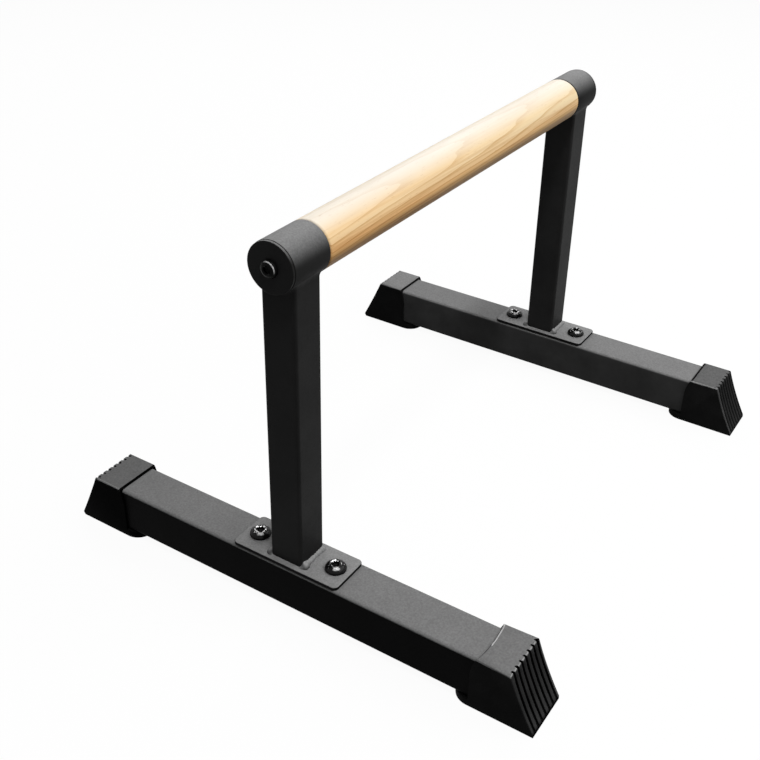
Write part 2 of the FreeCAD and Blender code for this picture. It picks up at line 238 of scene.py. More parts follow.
# The plate bolts' sockets, worn through in spots
SOCKET_GLOSS = 0.1
SOCKET_SPOT_SCALE = 520.0
SOCKET_SPOTS_FROM = (0.48, 0.56)
SOCKET_BLACK, SOCKET_STEEL = 0.006, 0.62
SOCKET_ROUGH = (0.20, 0.34)
SOCKET_GRIT = 0.1

# Wood: the pith's place and tilt, and the stretch of each pattern along and across the bar
WOOD_GLOSS = 0.10
WOOD_ROUGH = (0.42, 0.56)
WOOD_GRIT = 0.12
WOOD_DEPTH = 0.08 * MM
PITH_BEHIND = 26.0 * MM
PITH_BELOW = 50.0 * MM
PITH_TILT = (0, 0.020, 0.016)
RING_STRETCH = (0.09, 1, 1)
RINGS = {"Scale": 95.0, "Distortion": 6.0, "Detail": 3.0, "Detail Scale": 0.6}
STREAK_STRETCH = (7, 420, 420)
FLECK_STRETCH = (150, 1500, 1500)
CLOUD_STRETCH = (5, 40, 40)

# Wood: its colours, with painted light and shade (a pale top, a deeper gold on the less lit side, shade
# underneath), the tones of its patterns at their values, and how much of each pattern shows
WOOD_SIDE = (0.935, 0.765, 0.495, 1)
WOOD_SHADED_GOLD = (0.97, 0.63, 0.28, 1)
WOOD_WARM = (1, 0.90, 0.80, 1)
WOOD_TOP_LIGHT = (0.875, 0.825, 0.735, 1)
WOOD_UNDER_SHADE = (0.40, 0.42, 0.46, 1)
RING_TONES = ((0.0, (1, 1, 1)), (0.68, (0.98, 0.955, 0.91)), (0.97, (0.76, 0.60, 0.42)))
CLOUD_TONES = ((0.3, (0.90, 0.84, 0.78)), (0.7, (1, 1, 1)))
STREAK_TONES = ((0.30, (0.76, 0.61, 0.46)), (0.52, (1, 1, 1)))
FLECK_TONES = ((0.66, (1, 1, 1)), (0.76, (0.70, 0.56, 0.44)))
RING_SHARES = (1.0, 0.2)
STREAK_SHARES = (0.85, 0.15)
CLOUD_SHARE = 0.5
FLECK_SHARE = 0.4

# Heights over the bar's axis between which the painted underside shade, side gold and top light set in, and
# the lines fade under the painted top light
UNDER_SHADE_FROM = (-8.0 * MM, 0.0 * MM)
SHADED_GOLD_FROM = (-3.0 * MM, 8.0 * MM)
TOP_LIGHT_FROM = (12.0 * MM, 20.0 * MM)
LINES_FADE = (4.0 * MM, 17.0 * MM)

# The stretch along the bar over which the wood's sides lose their warm tone
WARM_FROM = (-190.0 * MM, 190.0 * MM)


def add(tree, kind, inputs=None, **settings):
    """A new shader node with its settings; an input is a value or another node's output."""
    node = tree.nodes.new("ShaderNode" + kind)
    for name, value in settings.items():
        setattr(node, name, value)
    for name, value in (inputs or {}).items():
        if isinstance(value, bpy.types.NodeSocket):
            tree.links.new(value, node.inputs[name])
        else:
            node.inputs[name].default_value = value
    return node


def new_material(name, **shader):
    """A material with one Principled shader; its constants are set on the shader's own sockets."""
    material = bpy.data.materials.new(name)
    material.use_nodes = True
    tree = material.node_tree
    bsdf = tree.nodes["Principled BSDF"]
    for socket, value in shader.items():
        bsdf.inputs[socket.replace("_", " ")].default_value = value
    return material, tree, bsdf


def coordinates(tree, scale=(1, 1, 1), location=(0, 0, 0), rotation=(0, 0, 0)):
    """A piece's own coordinates in metres, moved, turned and stretched for a texture."""
    source = add(tree, "TexCoord").outputs["Object"]
    return add(tree, "Mapping", {
        "Vector": source, "Scale": scale, "Location": location, "Rotation": rotation,
    }).outputs["Vector"]


def noise(tree, vector, scale, detail=2.0, roughness=0.5):
    """A noise texture's value, from 0 to 1."""
    return add(tree, "TexNoise", {
        "Vector": vector, "Scale": scale, "Detail": detail, "Roughness": roughness,
    }).outputs["Fac"]


def ramp(tree, value, *stops):
    """A colour ramp over (position, colour) stops."""
    node = add(tree, "ValToRGB", {"Fac": value})
    elements = node.color_ramp.elements
    while len(elements) < len(stops):
        elements.new(0.5)
    for element, (position, colour) in zip(elements, stops):
        element.position = position
        element.color = (*colour, 1.0)
    return node.outputs["Color"]


def grey(value):
    """A neutral colour."""
    return (value, value, value)


def greys(tree, value, low, high):
    """A noise value turned into greys from low to high."""
    return ramp(tree, value, (NOISE_LOW, grey(low)), (NOISE_HIGH, grey(high)))


def spread(tree, value, low, high, start=NOISE_LOW, end=NOISE_HIGH):
    """A value stretched from start..end to low..high."""
    return add(tree, "MapRange", {
        "Value": value, "From Min": start, "From Max": end, "To Min": low, "To Max": high,
    }).outputs["Result"]


def combine(tree, operation, first, second):
    """Two values put together by a math operation."""
    return add(tree, "Math", {0: first, 1: second}, operation=operation).outputs[0]


def blend_colours(tree, kind, amount, first, second):
    """Two colours put together by a blend mode, through the colour sockets of a mix node."""
    node = add(tree, "Mix", {0: amount, 6: first, 7: second}, data_type="RGBA", blend_type=kind)
    return node.outputs[2]


def bump(tree, bsdf, height, strength, distance):
    """Gives a shader a bumpy normal from a height texture."""
    node = add(tree, "Bump", {"Height": height, "Strength": strength, "Distance": distance})
    tree.links.new(node.outputs["Normal"], bsdf.inputs["Normal"])


def upward(tree, start, end):
    """How far a face looks up: 0 up to the first slope, 1 from the second one on."""
    normal = add(tree, "TexCoord").outputs["Normal"]
    height = add(tree, "SeparateXYZ", {0: normal}).outputs["Z"]
    return add(tree, "MapRange", {
        "Value": height, "From Min": start, "From Max": end,
    }, interpolation_type="SMOOTHSTEP").outputs["Result"]


def dark_surface(name, base, painted_sheen, slope, gloss, rough, grain_scale, patch_scale, grit):
    """A black finish with grain and patches, and on its upper faces a painted pale satin sheen that stands in
    for the top light.
    """
    material, tree, bsdf = new_material(name, Specular_IOR_Level=gloss)
    grain = noise(tree, coordinates(tree), grain_scale, detail=3.0)
    patches = noise(tree, coordinates(tree), patch_scale, detail=4.0)
    colour = greys(tree, patches, *(base * share for share in PATCH_SHARES))
    cloud = greys(tree, patches, *CLOUD_SHARES)
    sheen_tones = greys(tree, grain, *(painted_sheen * share for share in SHEEN_SHARES))
    sheen_colour = blend_colours(tree, "MULTIPLY", 1.0, sheen_tones, cloud)
    # Painted sheen: upward faces get a pale tone that stands in for the top light
    facing_up = upward(tree, *slope)
    tree.links.new(blend_colours(tree, "MIX", facing_up, colour, sheen_colour), bsdf.inputs["Base Color"])
    tree.links.new(spread(tree, grain, *rough), bsdf.inputs["Roughness"])
    bump(tree, bsdf, grain, grit, GRAIN_DEPTH)
    return material


def powder_coat(name, base, painted_sheen, slope, gloss=0.03):
    """Satin black powder coat."""
    return dark_surface(name, base, painted_sheen, slope, gloss, **POWDER_FINISH)


def rubber(name, base, painted_sheen, slope=(0.36, 1.0), gloss=0.006):
    """Matte moulded rubber with a painted dull sheen of top light on what looks up."""
    return dark_surface(name, base, painted_sheen, slope, gloss, **RUBBER_FINISH)


def oxide_with_painted_glint(name, centre, across, glint):
    """Blackened steel with a painted glint on one side of a bolt's head, where the key light's highlight
    falls, and painted glint specks beside it.
    """
    material, tree, bsdf = new_material(name, Specular_IOR_Level=glint["gloss"])
    smear = noise(tree, coordinates(tree), OXIDE_SMEAR_SCALE, detail=3.0)
    black = greys(tree, smear, *OXIDE_GREYS)
    tree.links.new(spread(tree, smear, *OXIDE_ROUGH), bsdf.inputs["Roughness"])
    bump(tree, bsdf, smear, OXIDE_GRIT, STEEL_DEPTH)

    flat = coordinates(tree, across, [-part * keep for part, keep in zip(centre, across)])
    radius = add(tree, "VectorMath", {0: flat}, operation="LENGTH").outputs["Value"]
    reach = add(tree, "VectorMath", {0: flat, 1: glint["towards"]}, operation="DOT_PRODUCT").outputs["Value"]
    facing = combine(tree, "DIVIDE", reach, radius)
    inner = spread(tree, radius, 0.0, 1.0, *glint["inner"])
    outer = spread(tree, radius, 1.0, 0.0, *glint["outer"])
    ring = combine(tree, "MULTIPLY", inner, outer)

    # Painted highlight: a bright patch on the side that faces the key light, and specks beside it
    uneven = noise(tree, coordinates(tree), GLINT_SCALE)
    ahead = spread(tree, facing, 0.0, 1.0, *glint["ahead"])
    glint_ahead = combine(tree, "MULTIPLY", ahead, spread(tree, uneven, GLINT_FAINT, 1.0))
    beside = spread(tree, facing, 0.0, glint["glint_specks"], *glint["beside"])
    glint_specks = combine(tree, "MULTIPLY", beside, spread(tree, uneven, 0.0, 1.0, *GLINT_SPECKS_FROM))
    glint_mask = combine(tree, "MULTIPLY", ring, combine(tree, "MAXIMUM", glint_ahead, glint_specks))
    bright = (*grey(glint["bright"]), 1)
    tree.links.new(blend_colours(tree, "MIX", glint_mask, black, bright), bsdf.inputs["Base Color"])
    return material


def worn_steel():
    """The bolts' sockets, where a key has rubbed the blackening through in spots."""
    material, tree, bsdf = new_material("bolt_socket_worn", Specular_IOR_Level=SOCKET_GLOSS)
    spots = noise(tree, coordinates(tree), SOCKET_SPOT_SCALE)
    worn = spread(tree, spots, 0.0, 1.0, *SOCKET_SPOTS_FROM)
    colour = ramp(tree, worn, (0.0, grey(SOCKET_BLACK)), (1.0, grey(SOCKET_STEEL)))
    tree.links.new(colour, bsdf.inputs["Base Color"])
    tree.links.new(worn, bsdf.inputs["Metallic"])
    tree.links.new(spread(tree, spots, *SOCKET_ROUGH), bsdf.inputs["Roughness"])
    bump(tree, bsdf, spots, SOCKET_GRIT, STEEL_DEPTH)
    return material


def beech(axis_height):
    """Pale beech: growth lines from rings about a tilted, distant pith, fine streaks and dark flecks; by
    height, a painted pale top, gold side and shaded underside.
    """
    material, tree, bsdf = new_material("beech_oiled", Specular_IOR_Level=WOOD_GLOSS)
    about_pith = coordinates(tree, location=(0, -PITH_BEHIND, PITH_BELOW - axis_height), rotation=PITH_TILT)
    stretched = add(tree, "Mapping", {"Vector": about_pith, "Scale": RING_STRETCH}).outputs["Vector"]
    wave = {"wave_type": "RINGS", "rings_direction": "X", "wave_profile": "SAW"}
    rings = add(tree, "TexWave", {"Vector": stretched, **RINGS}, **wave).outputs["Fac"]
    streaks = noise(tree, coordinates(tree, STREAK_STRETCH), 1.0, detail=4.0, roughness=0.6)
    flecks = noise(tree, coordinates(tree, FLECK_STRETCH), 1.0, detail=1.0)
    clouds = noise(tree, coordinates(tree, CLOUD_STRETCH), 1.0, detail=3.0)
    place = add(tree, "SeparateXYZ", {0: coordinates(tree, location=(0, 0, -axis_height))}).outputs
    height = place["Z"]
    layers = (
        # Painted light and shade by height: gold on the less lit side, a pale top, shade underneath; the
        # lines fade on top
        ("MIX", spread(tree, height, 1.0, 0.0, *SHADED_GOLD_FROM), WOOD_SHADED_GOLD),
        ("MULTIPLY", spread(tree, place["X"], 1.0, 0.0, *WARM_FROM), WOOD_WARM),
        ("MIX", spread(tree, height, 0.0, 1.0, *TOP_LIGHT_FROM), WOOD_TOP_LIGHT),
        ("MULTIPLY", spread(tree, height, 1.0, 0.0, *UNDER_SHADE_FROM), WOOD_UNDER_SHADE),
        ("MULTIPLY", spread(tree, height, *RING_SHARES, *LINES_FADE), ramp(tree, rings, *RING_TONES)),
        ("MULTIPLY", CLOUD_SHARE, ramp(tree, clouds, *CLOUD_TONES)),
        ("MULTIPLY", spread(tree, height, *STREAK_SHARES, *LINES_FADE), ramp(tree, streaks, *STREAK_TONES)),
        ("MULTIPLY", FLECK_SHARE, ramp(tree, flecks, *FLECK_TONES)),
    )
    colour = WOOD_SIDE
    for kind, amount, tone in layers:
        colour = blend_colours(tree, kind, amount, colour, tone)
    tree.links.new(colour, bsdf.inputs["Base Color"])
    tree.links.new(spread(tree, streaks, *WOOD_ROUGH), bsdf.inputs["Roughness"])
    bump(tree, bsdf, streaks, WOOD_GRIT, WOOD_DEPTH)
    return material


def make_piece(name, bm, material, slot, *nodes, sharp=35):
    """A piece from a bmesh: smooth but for its sharp edges, on the one body, in place of its CAD nodes."""
    bmesh.ops.recalc_face_normals(bm, faces=bm.faces)
    mesh = bpy.data.meshes.new(name)
    bm.to_mesh(mesh)
    bm.free()
    mesh.materials.append(material)
    mesh.shade_smooth()
    mesh.set_sharp_from_angle(angle=math.radians(sharp))
    piece = bpy.data.objects.new(name, mesh)
    bpy.context.scene.collection.objects.link(piece)
    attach(piece, BODY)
    if nodes:
        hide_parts(*nodes)
    return piece


def curve(start, corner, end, steps):
    """Points from start to end on a curve that bends towards a corner."""
    shares = [step / steps for step in range(steps + 1)]
    return [start * (1 - t) ** 2 + corner * 2 * t * (1 - t) + end * t ** 2 for t in shares]


def rounded(profile, radius, steps=5, closed=True):
    """A profile with each of its corners replaced by a short curve."""
    points = [Vector(p) for p in profile]
    count = len(points)
    made = []
    for k, corner in enumerate(points):
        if not closed and k in (0, count - 1):
            made.append(corner)
            continue
        before, after = points[k - 1] - corner, points[(k + 1) % count] - corner
        start = corner + before.normalized() * min(radius, before.length * SIDE_SHARE)
        end = corner + after.normalized() * min(radius, after.length * SIDE_SHARE)
        made += curve(start, corner, end, steps)
    return made


def ring_stack(rings, segments, place, closed=False):
    """Rings of (radius, height) joined about the local Z axis; a radius may depend on the angle."""
    bm = bmesh.new()
    angles = [2 * math.pi * k / segments for k in range(segments)]
    loops = []
    for radius, height in rings:
        reach = radius if callable(radius) else (lambda _, r=radius: r)
        points = [Vector((reach(a) * math.cos(a), reach(a) * math.sin(a), height)) for a in angles]
        loops.append([bm.verts.new(place @ point) for point in points])
    pairs = list(zip(loops, loops[1:]))
    if closed:
        pairs.append((loops[-1], loops[0]))
    else:
        bm.faces.new(loops[0])
        bm.faces.new(loops[-1])
    for lower, upper in pairs:
        for k in range(segments):
            following = (k + 1) % segments
            bm.faces.new((lower[k], lower[following], upper[following], upper[k]))
    return bm


def facing_out(seat, end):
    """A local Z axis at a seat that points out of the left or the right end."""
    return Matrix.Translation(seat) @ Matrix.Rotation(math.radians(90 * end), 4, "Y")


def outward(end, node):
    """A local Z axis that points out of the left or the right end, from the inner end of a node's box."""
    low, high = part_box(node)
    middle = (low + high) / 2
    return facing_out(Vector((low.x if end > 0 else high.x, middle.y, middle.z)), end)


def cad_copy(node):
    """A CAD node's mesh as a bmesh, with its flat faces joined."""
    bm = bmesh.new()
    bm.from_mesh(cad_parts[node].data)
    bmesh.ops.remove_doubles(bm, verts=bm.verts, dist=JOIN_NEAR)
    bmesh.ops.dissolve_limit(bm, angle_limit=FLAT_ANGLE, verts=bm.verts, edges=bm.edges)
    return bm


def sharp_edges(bm, sharp=25):
    """The edges of a bmesh where its surface turns by more than an angle."""
    return [e for e in bm.edges if len(e.link_faces) == 2 and e.calc_face_angle() > math.radians(sharp)]


def roll_edges(bm, edges, width):
    """Rolls edges over, and gives the new faces."""
    return bmesh.ops.bevel(
        bm, geom=edges, offset=width, segments=ROLL_SEGMENTS, profile=0.5,
        affect="EDGES", clamp_overlap=False,
    )["faces"]


def cut(bm, faces, place, normal):
    """Cuts faces along a plane."""
    edges = list({e for f in faces for e in f.edges})
    corners = list({v for f in faces for v in f.verts})
    bmesh.ops.bisect_plane(bm, geom=faces + edges + corners, plane_co=place, plane_no=normal, dist=CUT_NEAR)


def faces_on(bm, test):
    """The faces of a bmesh whose corners all pass a test."""
    return [f for f in bm.faces if all(test(v.co) for v in f.verts)]


def edges_on(edges, test):
    """The edges whose ends both pass a test."""
    return [e for e in edges if all(test(v.co) for v in e.verts)]


def crosswise(edge):
    """Whether an edge runs across a boot."""
    return abs(edge.verts[0].co.x - edge.verts[1].co.x) > GROOVE_START


def plate(node, material):
    """A base plate with its edges rolled over."""
    bm = cad_copy(node)
    roll_edges(bm, sharp_edges(bm), PLATE_ROUND)
    return make_piece(node + "_soft", bm, material, "powder_coat", node)


class BootShape:
    """A boot's measures, and on which of its surfaces a point lies."""

    def __init__(self, end_name, side_name, side):
        node = f"{end_name}_{side_name}_boot"
        low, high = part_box(node)
        self.node, self.side, self.low, self.high = node, side, low, high
        self.middle, self.half, self.tall = (low.x + high.x) / 2, (high.x - low.x) / 2, high.z - low.z
        self.toe = high.y if side > 0 else -low.y
        self.beam_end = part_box(end_name + "_base_beam")[1].y
        self.mouth = self.beam_end - BOOT_COVER
        self.front, self.bowed, self.dotted = side < 0, node == BOWED_BOOT, node == DOTTED_BOOT
        self.hollow, self.groove_more = BOOT_HOLLOW[side_name], GROOVE_MORE[side_name]

    def share(self, point):
        """How far up a point lies, from 0 at the sole to 1 at the lid."""
        return (point.z - self.low.z) / self.tall

    def depth(self, point):
        """How far a point lies behind the sloping plane of the ribs' fronts."""
        return self.beam_end + BOOT_END_WALL + BOOT_FLARE * (1 - self.share(point)) - point.y * self.side

    def on_wall(self, point):
        """On the ribbed end wall, with its grooves."""
        return self.depth(point) < BOOT_WALL_DEPTH

    def on_rib(self, point):
        """On the ribs' fronts."""
        return self.depth(point) < GROOVE_START

    def in_groove(self, point):
        """At the bottom of the end wall's grooves."""
        inside = abs(point.x - self.middle) < self.half - BOOT_RIM
        return inside and self.on_wall(point) and self.depth(point) > GROOVE_START

    def on_lid(self, point):
        """On the wall over the beam, or at its edges."""
        return point.z > self.high.z - BOOT_LID

    def at_mouth(self, point):
        """At the edge of the lid that lies across the beam."""
        return self.on_lid(point) and abs(point.y * self.side - self.mouth) < BOOT_LID

    def at_lip(self, point):
        """At the upper edge of the mouth."""
        return point.z > self.high.z - GROOVE_START and self.at_mouth(point)

    def at_rib_top(self, point):
        """Where the ribs meet the lid."""
        return point.z > self.high.z - BOOT_RIM - CHAMFER_MORE and self.on_rib(point)

    def at_corner(self, point):
        """At the upright corners of the end wall."""
        return abs(point.x - self.middle) > self.half - GROOVE_START and self.on_rib(point)

    def at_toe(self, point):
        """At the end wall's foot."""
        return point.z < self.low.z + GROOVE_START and self.toe - point.y * self.side < BOOT_TOE

    def on_highlit_rib(self, point):
        """On the outer rib of a front boot that gets a painted highlight."""
        outer = abs(point.x - self.middle) > self.half * BOOT_OUTER_RIB
        return self.front and outer and (point.x > self.middle) == self.bowed

    def by_run_outs(self, point):
        """On the strip of the lid that the grooves run out on."""
        return self.on_lid(point) and self.depth(point) < RUN_OUT + GROOVE_START

    def in_run_out(self, point):
        """On the lid at the end of a groove."""
        offset = (point.x - self.middle) / GROOVE_PITCH
        near = abs(offset - round(offset)) * GROOVE_PITCH < RUN_OUT_HALF
        return near and self.on_lid(point) and self.depth(point) < RUN_OUT


def widen_chamfers(bm, shape):
    """Makes the chamfers along a boot's top wider than in the CAD."""
    for vert in bm.verts:
        beside, below = shape.half - abs(vert.co.x - shape.middle), shape.high.z - vert.co.z
        if beside < GROOVE_START and abs(below - BOOT_CHAMFER) < GROOVE_START:
            if shape.on_wall(vert.co):
                vert.co.y += shape.side * BOOT_FLARE / shape.tall * CHAMFER_MORE
            vert.co.z -= CHAMFER_MORE
        elif below < GROOVE_START and abs(beside - BOOT_CHAMFER) < GROOVE_START:
            vert.co.x += math.copysign(CHAMFER_MORE, shape.middle - vert.co.x)


def cut_boot(bm, shape):
    """Cuts a boot's end wall into levels and its lid into columns, and on one boot the run-outs."""
    for level in BOOT_LEVELS:
        place = Vector((shape.middle, 0, shape.low.z + shape.tall * level))
        cut(bm, faces_on(bm, shape.on_wall), place, (0, 0, 1))
    for column in BOOT_COLUMNS:
        place = Vector((shape.middle + shape.half * column, 0, 0))
        cut(bm, faces_on(bm, shape.on_lid), place, (1, 0, 0))
    if not shape.dotted:
        return
    place = Vector((0, shape.side * (shape.beam_end + BOOT_END_WALL - RUN_OUT), 0))
    cut(bm, faces_on(bm, shape.on_lid), place, (0, 1, 0))
    for groove in range(-(GROOVES // 2), GROOVES // 2 + 1):
        for flank in (-RUN_OUT_HALF, RUN_OUT_HALF):
            place = Vector((shape.middle + groove * GROOVE_PITCH + flank, 0, 0))
            cut(bm, faces_on(bm, shape.by_run_outs), place, (1, 0, 0))


def colour_wall(bm, shape):
    """Paints shade into a boot's grooves and run-outs, a highlight on a front boot's outer rib, and light on
    the bowed boot's ribs.
    """
    bm.normal_update()
    for face in bm.faces:
        centre = face.calc_center_median()
        if face.normal.z > BOOT_UPWARD:
            painted_dark = shape.dotted and shape.in_run_out(centre)
        else:
            painted_dark = shape.in_groove(centre) and shape.node != SHALLOW_BOOT
        if painted_dark:
            face.material_index = PAINTED_SHADE
        elif shape.on_highlit_rib(centre) and shape.on_rib(centre):
            face.material_index = EDGE_HIGHLIGHT
        elif shape.bowed and shape.on_rib(centre):
            face.material_index = LIT_RIB


def mould_boot(bm, shape):
    """Hollows a boot's end wall, deepens its grooves, squares the front toes, and bows one boot."""
    for vert in bm.verts:
        across = (vert.co.x - shape.middle) / shape.half
        if shape.on_wall(vert.co):
            height = shape.share(vert.co)
            run_in = min(1, max(0, height - GROOVE_FOOT) / GROOVE_RUN_IN)
            sunk = shape.groove_more * run_in if shape.in_groove(vert.co) else 0
            vert.co.y -= shape.side * (shape.hollow * 4 * height * (1 - height) + sunk)
            if shape.bowed and abs(across) > BOOT_OUTSIDE:
                vert.co.x += math.copysign(BOOT_SPREAD * (SPREAD_FOOT + (1 - SPREAD_FOOT) * height), across)
        elif shape.bowed and shape.at_mouth(vert.co):
            vert.co.y += shape.side * BOOT_BOW * (1 - across ** 2)
        elif shape.front and shape.at_toe(vert.co):
            vert.co.y = shape.toe * shape.side


def roll_boot(bm, shape, ribs, lip):
    """Rolls a boot's edges over; rolled ribs get a painted highlight on the paler rib and the bowed boot's
    lid, and the lip gets a painted highlight on the bowed boot or painted shade on the others.
    """
    for face in roll_edges(bm, ribs, EDGE_ROUND):
        centre = face.calc_center_median()
        highlit = shape.on_highlit_rib(centre) or shape.bowed and shape.on_lid(centre)
        face.material_index = EDGE_HIGHLIGHT if highlit else PLAIN
    for face in roll_edges(bm, lip, BOWED_LIP if shape.bowed else PLAIN_LIP):
        bright = face.calc_center_median().x > shape.middle - shape.half * LIP_BRIGHT
        if not shape.bowed:
            face.material_index = PAINTED_SHADE
        else:
            face.material_index = LIP_HIGHLIGHT if bright else PLAIN
    bm.normal_update()
    roomy = [
        e for e in sharp_edges(bm) if all(n.calc_length() > BOOT_ROOM for v in e.verts for n in v.link_edges)
    ]
    roll_edges(bm, roomy, BOOT_ROUND)


def colour_edges(bm, shape):
    """Paints shade on the top of a boot's tongue, and a highlight on one chamfer along the lid of some boots.
    """
    bm.normal_update()
    for face in bm.faces:
        centre, normal = face.calc_center_median(), face.normal
        if normal.z > BOOT_UPWARD and shape.share(centre) < BOOT_TONGUE:
            face.material_index = PAINTED_SHADE
        elif shape.node in EDGE_HIGHLIGHT_BOOTS and shape.on_lid(centre):
            if normal.x < -BOOT_INWARD and normal.z > BOOT_INWARD:
                face.material_index = EDGE_HIGHLIGHT


def boot(end_name, side_name, side, plain, *others):
    """A rubber boot: the CAD one cut, moulded and with its edges rolled over."""
    shape = BootShape(end_name, side_name, side)
    node = shape.node
    bm = cad_copy(node)
    widen_chamfers(bm, shape)
    cut_boot(bm, shape)
    colour_wall(bm, shape)
    sharp = sharp_edges(bm)
    across = [e for e in sharp if shape.front and crosswise(e)]
    rib_tops, lip = edges_on(across, shape.at_rib_top), edges_on(across, shape.at_lip)
    corners = edges_on([e for e in sharp if not crosswise(e)], shape.at_corner)
    mould_boot(bm, shape)
    roll_boot(bm, shape, rib_tops + corners, lip)
    colour_edges(bm, shape)
    piece = make_piece(node + "_moulded", bm, plain, "boot_rubber", node)
    for material in others:
        piece.data.materials.append(material)
    return piece


def grip(material):
    """The wooden bar: turned spigots in the sleeves, and softened shoulders."""
    low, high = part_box("grip_bar")
    radius = (high.z - low.z) / 2
    place = facing_out((0, 0, (high.z + low.z) / 2), 1)
    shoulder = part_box("right_sleeve")[0].x - SHOULDER_GAP
    half = [
        (SPIGOT_RADIUS, high.x), (SPIGOT_RADIUS, shoulder), (radius - SHOULDER_EDGE, shoulder),
        (radius, shoulder - SHOULDER_EDGE * SHOULDER_SLOPE),
    ]
    profile = half + [(r, -x) for r, x in reversed(half)]
    bm = ring_stack(rounded(profile, SHOULDER_EDGE, closed=False), BAR_SEGMENTS, place)
    return make_piece("grip_bar_wood", bm, material, "beech", "grip_bar")


def sleeve(end_name, end, material):
    """A sleeve's tube with its edges softened."""
    node = end_name + "_sleeve"
    low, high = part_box(node)
    outer, length = (high.z - low.z) / 2, high.x - low.x
    inner = outer - SLEEVE_WALL
    profile = rounded([(inner, 0), (outer, 0), (outer, length), (inner, length)], SLEEVE_EDGE)
    bm = ring_stack(profile, TUBE_SEGMENTS, outward(end, node), closed=True)
    return make_piece(node + "_tube", bm, material, "powder_coat", node)


def disc(end_name, end, material):
    """The disc that closes a sleeve, with a rolled rim."""
    node = end_name + "_end_disc"
    low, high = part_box(node)
    outer, thick = (high.z - low.z) / 2, high.x - low.x
    rim = rounded([(outer, thick - DISC_EDGE), (outer, thick), (DISC_HOLE, thick)], DISC_EDGE, closed=False)
    profile = [Vector(p) for p in ((DISC_HOLE, 0), (outer - DISC_SEAM, 0), (outer, DISC_SEAM))] + rim
    bm = ring_stack(profile, TUBE_SEGMENTS, outward(end, node), closed=True)
    return make_piece(node + "_cap", bm, material, "powder_coat", node)


def bolt(node, place, head, height, shank, length, socket, depth, material, worn):
    """A button-head bolt on its seat: domed head, hexagon socket with a lead-in, plain shank."""
    rim = height * BOLT_RIM
    mouth = socket / math.sqrt(3) + BOLT_LEAD

    def hexagon(angle):
        return socket / 2 / math.cos(angle % (math.pi / 3) - math.pi / 6)

    rings = [
        (shank * TIP_RADIUS, -length), (shank, shank * TIP_HEIGHT - length), (shank, 0),
        (head - BOLT_ROUND, 0), (head, BOLT_ROUND),
    ]
    last = math.acos(mouth / head)
    crown = (height - rim) / math.sin(last)
    for step in range(BOLT_DOME_STEPS + 1):
        angle = last * step / BOLT_DOME_STEPS
        rings.append((head * math.cos(angle), rim + crown * math.sin(angle)))
    rings += [
        (mouth - BOLT_LEAD * LEAD_ACROSS, height - BOLT_LEAD * LEAD_DOWN), (hexagon, height - BOLT_LEAD),
        (hexagon, height - depth), (socket * SOCKET_POINT, height - depth - BOLT_LEAD),
    ]
    bm = ring_stack(rings, BOLT_SEGMENTS, place)
    axis = place.to_3x3() @ Vector((0, 0, 1))
    for face in bm.faces:
        offset = face.calc_center_median() - place.translation
        if offset.dot(axis) > height - BOLT_LEAD * WORN_DOWN and offset.cross(axis).length < mouth * WORN_OUT:
            face.material_index = WORN_SLOT
    piece = make_piece(node + "_button", bm, material, "bolt_black", node, sharp=50)
    piece.data.materials.append(worn)
    return piece


def end_bolt(end_name, end):
    """The bolt in the middle of a sleeve's disc."""
    low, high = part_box(end_name + "_end_bolt")
    disc_low, disc_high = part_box(end_name + "_end_disc")
    seat = Vector((disc_high.x if end > 0 else disc_low.x, 0, (low.z + high.z) / 2))
    reach = high.x - seat.x if end > 0 else seat.x - low.x
    head = (high.z - low.z) / 2
    glinting_oxide = oxide_with_painted_glint(f"bolt_black_{end_name}_end", seat, (0, 1, 1), END_GLINT)
    place = facing_out(seat, end)
    bolt(end_name + "_end_bolt", place, head, reach, material=glinting_oxide, worn=glinting_oxide, **END_BOLT)


def plate_bolt(end_name, corner, worn):
    """A bolt through a base plate, at one corner of the object."""
    low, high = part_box(corner + "_plate_bolt")
    seat = Vector(((low.x + high.x) / 2, (low.y + high.y) / 2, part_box(end_name + "_base_plate")[1].z))
    head, reach = (high.x - low.x) / 2, high.z - seat.z
    glinting_oxide = oxide_with_painted_glint(f"bolt_black_{corner}", seat, (1, 1, 0), PLATE_GLINT)
    place = Matrix.Translation(seat)
    bolt(corner + "_plate_bolt", place, head, reach, material=glinting_oxide, worn=worn, **PLATE_BOLT)


def square_path(half, corner, flat_steps, corner_steps):
    """(point, outward normal, distance) round a square with round corners, anticlockwise."""
    straight = half - corner
    side = []
    for k in range(flat_steps):
        side.append((Vector((half, straight * (2 * k / flat_steps - 1), 0)), Vector((1, 0, 0))))
    for k in range(corner_steps):
        angle = math.pi / 2 * k / corner_steps
        normal = Vector((math.cos(angle), math.sin(angle), 0))
        side.append((Vector((straight, straight, 0)) + normal * corner, normal))
    path = []
    for quarter in range(4):
        turn = Matrix.Rotation(math.pi / 2 * quarter, 3, "Z")
        path += [(turn @ point, turn @ normal) for point, normal in side]
    distance, measured = 0.0, []
    for k, (point, normal) in enumerate(path):
        distance += (point - path[k - 1][0]).length if k else 0.0
        measured.append((point, normal, distance))
    return measured


def bead(name, sections, material, *nodes):
    """A closed weld bead through sections of equally many points."""
    bm = bmesh.new()
    loops = [[bm.verts.new(point) for point in section] for section in sections]
    for k, loop in enumerate(loops):
        following = loops[(k + 1) % len(loops)]
        for m in range(len(loop)):
            n = (m + 1) % len(loop)
            bm.faces.new((loop[m], loop[n], following[n], following[m]))
    return make_piece(name, bm, material, "powder_coat", *nodes, sharp=60)


